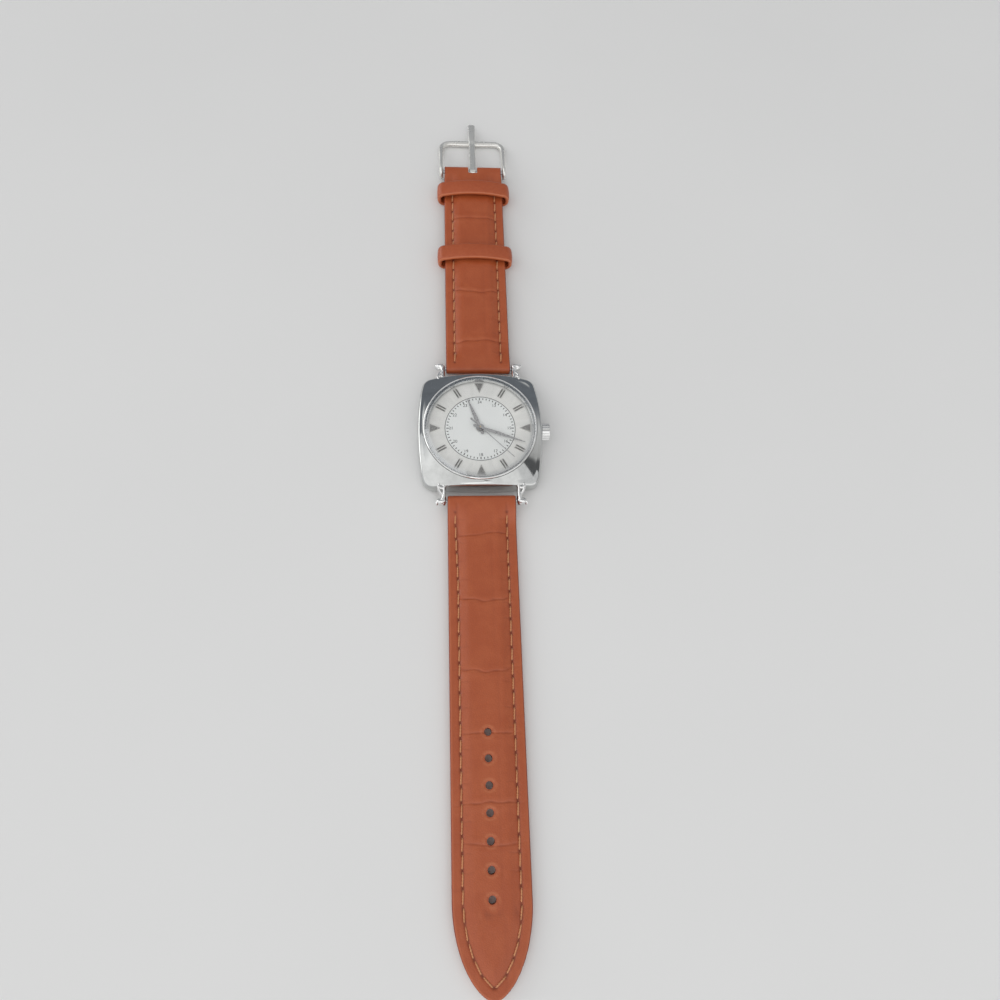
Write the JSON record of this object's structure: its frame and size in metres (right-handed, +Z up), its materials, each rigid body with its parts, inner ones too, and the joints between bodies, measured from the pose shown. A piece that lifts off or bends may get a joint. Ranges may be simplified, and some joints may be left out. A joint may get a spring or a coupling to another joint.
{
  "type": "mechanical wristwatch",
  "caption": "Hand-wound wristwatch with a cushion-shaped case, domed crystal, fancy lugs and a padded leather strap with keepers and a pin buckle.",
  "frame": {"origin": "on the table under the centre of the case, which is the middle of the case back's outer face", "axes": "+X from the case towards the crown, +Y from the case towards 12 o'clock and the buckle, +Z up from the back through the dial"},
  "size_m": [0.036, 0.245, 0.0094],
  "materials": {
    "polished_steel": "mirror polished, lightly worn",
    "brushed_steel": "fine turned",
    "movement_steel": "ground",
    "bright_metal": "polished facets",
    "dial_paint": "silvered, satin",
    "acrylic": "clear, polished",
    "plate_nickel": "nickel plated, frosted",
    "wheel_brass": "gilt",
    "ruby": "polished",
    "blued_steel": "blued",
    "gasket_rubber": "matt",
    "strap_leather": "embossed, waxed",
    "lining_leather": "smooth"
  },
  "bodies": {
    "case": {"case_middle": "polished_steel", "lugs": "polished_steel", "bezel": "polished_steel", "crystal": "acrylic", "tension_ring": "bright_metal", "crown_tube": "brushed_steel", "case_back": "brushed_steel", "back_gasket": "gasket_rubber", "movement_ring": "plate_nickel", "spring_bar_upper": "brushed_steel", "spring_bar_lower": "brushed_steel", "dial": "dial_paint", "hour_markers": "bright_metal", "main_plate": "plate_nickel", "barrel_bridge": "plate_nickel", "train_bridge": "plate_nickel", "centre_bridge": "plate_nickel", "pallet_bridge": "plate_nickel", "balance_cock": "plate_nickel", "jewels": "ruby", "movement_screws": "blued_steel", "setting_lever_spring": "movement_steel", "click_spring": "movement_steel", "hairspring": "blued_steel"},
    "strap_short": {"strap_short": "strap_leather", "lining_short": "lining_leather", "fixed_keeper": "strap_leather"},
    "loose_keeper": {"loose_keeper": "strap_leather"},
    "buckle": {"buckle_frame": "polished_steel", "buckle_bar": "brushed_steel"},
    "tongue": {"buckle_tongue": "polished_steel"},
    "strap_long": {"strap_long": "strap_leather", "lining_long": "lining_leather"},
    "yoke": {"yoke": "movement_steel"},
    "clutch": {"sliding_pinion": "movement_steel"},
    "crown": {"crown": "polished_steel", "winding_stem": "movement_steel"},
    "setting_lever": {"setting_lever": "movement_steel"},
    "winding_pinion": {"winding_pinion": "movement_steel"},
    "crown_wheel": {"crown_wheel": "movement_steel"},
    "ratchet": {"ratchet_wheel": "movement_steel", "barrel_arbor": "movement_steel"},
    "click": {"click": "movement_steel"},
    "barrel": {"barrel_drum": "wheel_brass", "barrel_cover": "wheel_brass", "mainspring": "movement_steel"},
    "centre": {"centre_wheel": "wheel_brass", "cannon_pinion": "movement_steel", "minute_hand": "bright_metal"},
    "third": {"third_wheel": "wheel_brass"},
    "fourth": {"fourth_wheel": "wheel_brass", "seconds_hand": "bright_metal"},
    "escape": {"escape_wheel": "movement_steel"},
    "pallet": {"pallet_fork": "movement_steel"},
    "balance": {"balance_wheel": "wheel_brass"},
    "minute_works": {"minute_wheel": "wheel_brass"},
    "hour": {"hour_wheel": "wheel_brass", "hour_hand": "bright_metal"},
    "setting_wheel": {"setting_wheel": "movement_steel"}
  },
  "joints": [
    {"name": "strap_short_pivot", "type": "hinge", "parent": "case", "child": "strap_short", "pos_m": [0, 0.0199, 0.003], "axis": [1, 0, 0], "range_deg": [-85, 80]},
    {"name": "strap_long_pivot", "type": "hinge", "parent": "case", "child": "strap_long", "pos_m": [0, -0.0199, 0.003], "axis": [-1, 0, 0], "range_deg": [-85, 80]},
    {"name": "keeper_slide", "type": "slide", "parent": "strap_short", "child": "loose_keeper", "axis": [0, 1, 0], "range_m": [-0.022, 0.014]},
    {"name": "buckle_pivot", "type": "hinge", "parent": "strap_short", "child": "buckle", "pos_m": [0, 0.09105, 0.0028], "axis": [1, 0, 0], "range_deg": [-50, 35]},
    {"name": "tongue_pivot", "type": "hinge", "parent": "buckle", "child": "tongue", "pos_m": [0, 0.09105, 0.0028], "axis": [1, 0, 0], "range_deg": [0, 65]},
    {"name": "clutch_shift", "type": "slide", "parent": "case", "child": "yoke", "axis": [1, 0, 0], "range_m": [-0.00045, 0]},
    {"name": "crown_turn", "type": "hinge", "parent": "yoke", "child": "clutch", "pos_m": [0.0077, 0, 0.0033], "axis": [1, 0, 0], "continuous": true},
    {"name": "crown_pull", "type": "slide", "parent": "clutch", "child": "crown", "axis": [1, 0, 0], "range_m": [0, 0.00145]},
    {"name": "setting_lever_turn", "type": "hinge", "parent": "case", "child": "setting_lever", "pos_m": [0.01125, -0.0032, 0.00496], "axis": [0, 0, 1], "range_deg": [-18, 0]},
    {"name": "winding_pinion_turn", "type": "hinge", "parent": "case", "child": "winding_pinion", "pos_m": [0.009, 0, 0.0033], "axis": [1, 0, 0], "continuous": true},
    {"name": "crown_wheel_turn", "type": "hinge", "parent": "case", "child": "crown_wheel", "pos_m": [0.0063, 0, 0.0015], "axis": [0, 0, 1], "continuous": true},
    {"name": "ratchet_turn", "type": "hinge", "parent": "case", "child": "ratchet", "pos_m": [0.00284, 0.00562, 0.0015], "axis": [0, 0, 1], "continuous": true},
    {"name": "click_lift", "type": "hinge", "parent": "case", "child": "click", "pos_m": [-0.00122, 0.00903, 0.0015], "axis": [0, 0, -1], "range_deg": [0, 6], "stiffness_Nm_per_rad": 0.000001},
    {"name": "train_turn", "type": "hinge", "parent": "case", "child": "fourth", "pos_m": [0, 0, 0.003], "axis": [0, 0, 1], "continuous": true},
    {"name": "third_turn", "type": "hinge", "parent": "case", "child": "third", "pos_m": [0.00114, -0.00398, 0.003], "axis": [0, 0, 1], "continuous": true},
    {"name": "centre_turn", "type": "hinge", "parent": "case", "child": "centre", "pos_m": [0, 0, 0.004], "axis": [0, 0, 1], "continuous": true},
    {"name": "barrel_turn", "type": "hinge", "parent": "case", "child": "barrel", "pos_m": [0.00284, 0.00562, 0.003], "axis": [0, 0, 1], "continuous": true},
    {"name": "escape_turn", "type": "hinge", "parent": "case", "child": "escape", "pos_m": [-0.00384, -0.00179, 0.003], "axis": [0, 0, 1], "continuous": true},
    {"name": "minute_works_turn", "type": "hinge", "parent": "case", "child": "minute_works", "pos_m": [0.003, 0, 0.005], "axis": [0, 0, 1], "continuous": true},
    {"name": "hour_turn", "type": "hinge", "parent": "case", "child": "hour", "pos_m": [0, 0, 0.0055], "axis": [0, 0, 1], "continuous": true},
    {"name": "setting_wheel_turn", "type": "hinge", "parent": "case", "child": "setting_wheel", "pos_m": [0.006, 0, 0.0048], "axis": [0, 0, 1], "continuous": true},
    {"name": "pallet_swing", "type": "hinge", "parent": "case", "child": "pallet", "pos_m": [-0.00583, -0.00272, 0.0033], "axis": [0, 0, 1], "range_deg": [-5, 5]},
    {"name": "balance_swing", "type": "hinge", "parent": "case", "child": "balance", "pos_m": [-0.00805, -0.00375, 0.0027], "axis": [0, 0, 1], "range_deg": [-270, 270], "stiffness_Nm_per_rad": 0.00000027}
  ],
  "couplings": [
    {"joint": "clutch_shift", "follows": "crown_pull", "ratio": -0.31034},
    {"joint": "setting_lever_turn", "follows": "crown_pull", "rad_per_m": -213.8},
    {"joint": "winding_pinion_turn", "follows": "crown_turn", "ratio": 1},
    {"joint": "crown_wheel_turn", "follows": "crown_turn", "ratio": 0.54167},
    {"joint": "ratchet_turn", "follows": "crown_turn", "ratio": -0.36111},
    {"joint": "third_turn", "follows": "train_turn", "ratio": -0.13333},
    {"joint": "centre_turn", "follows": "train_turn", "ratio": 0.016667},
    {"joint": "barrel_turn", "follows": "train_turn", "ratio": -0.0025641},
    {"joint": "escape_turn", "follows": "train_turn", "ratio": -10},
    {"joint": "minute_works_turn", "follows": "train_turn", "ratio": -0.0055556},
    {"joint": "hour_turn", "follows": "train_turn", "ratio": 0.0013889},
    {"joint": "setting_wheel_turn", "follows": "train_turn", "ratio": 0.016667}
  ]
}
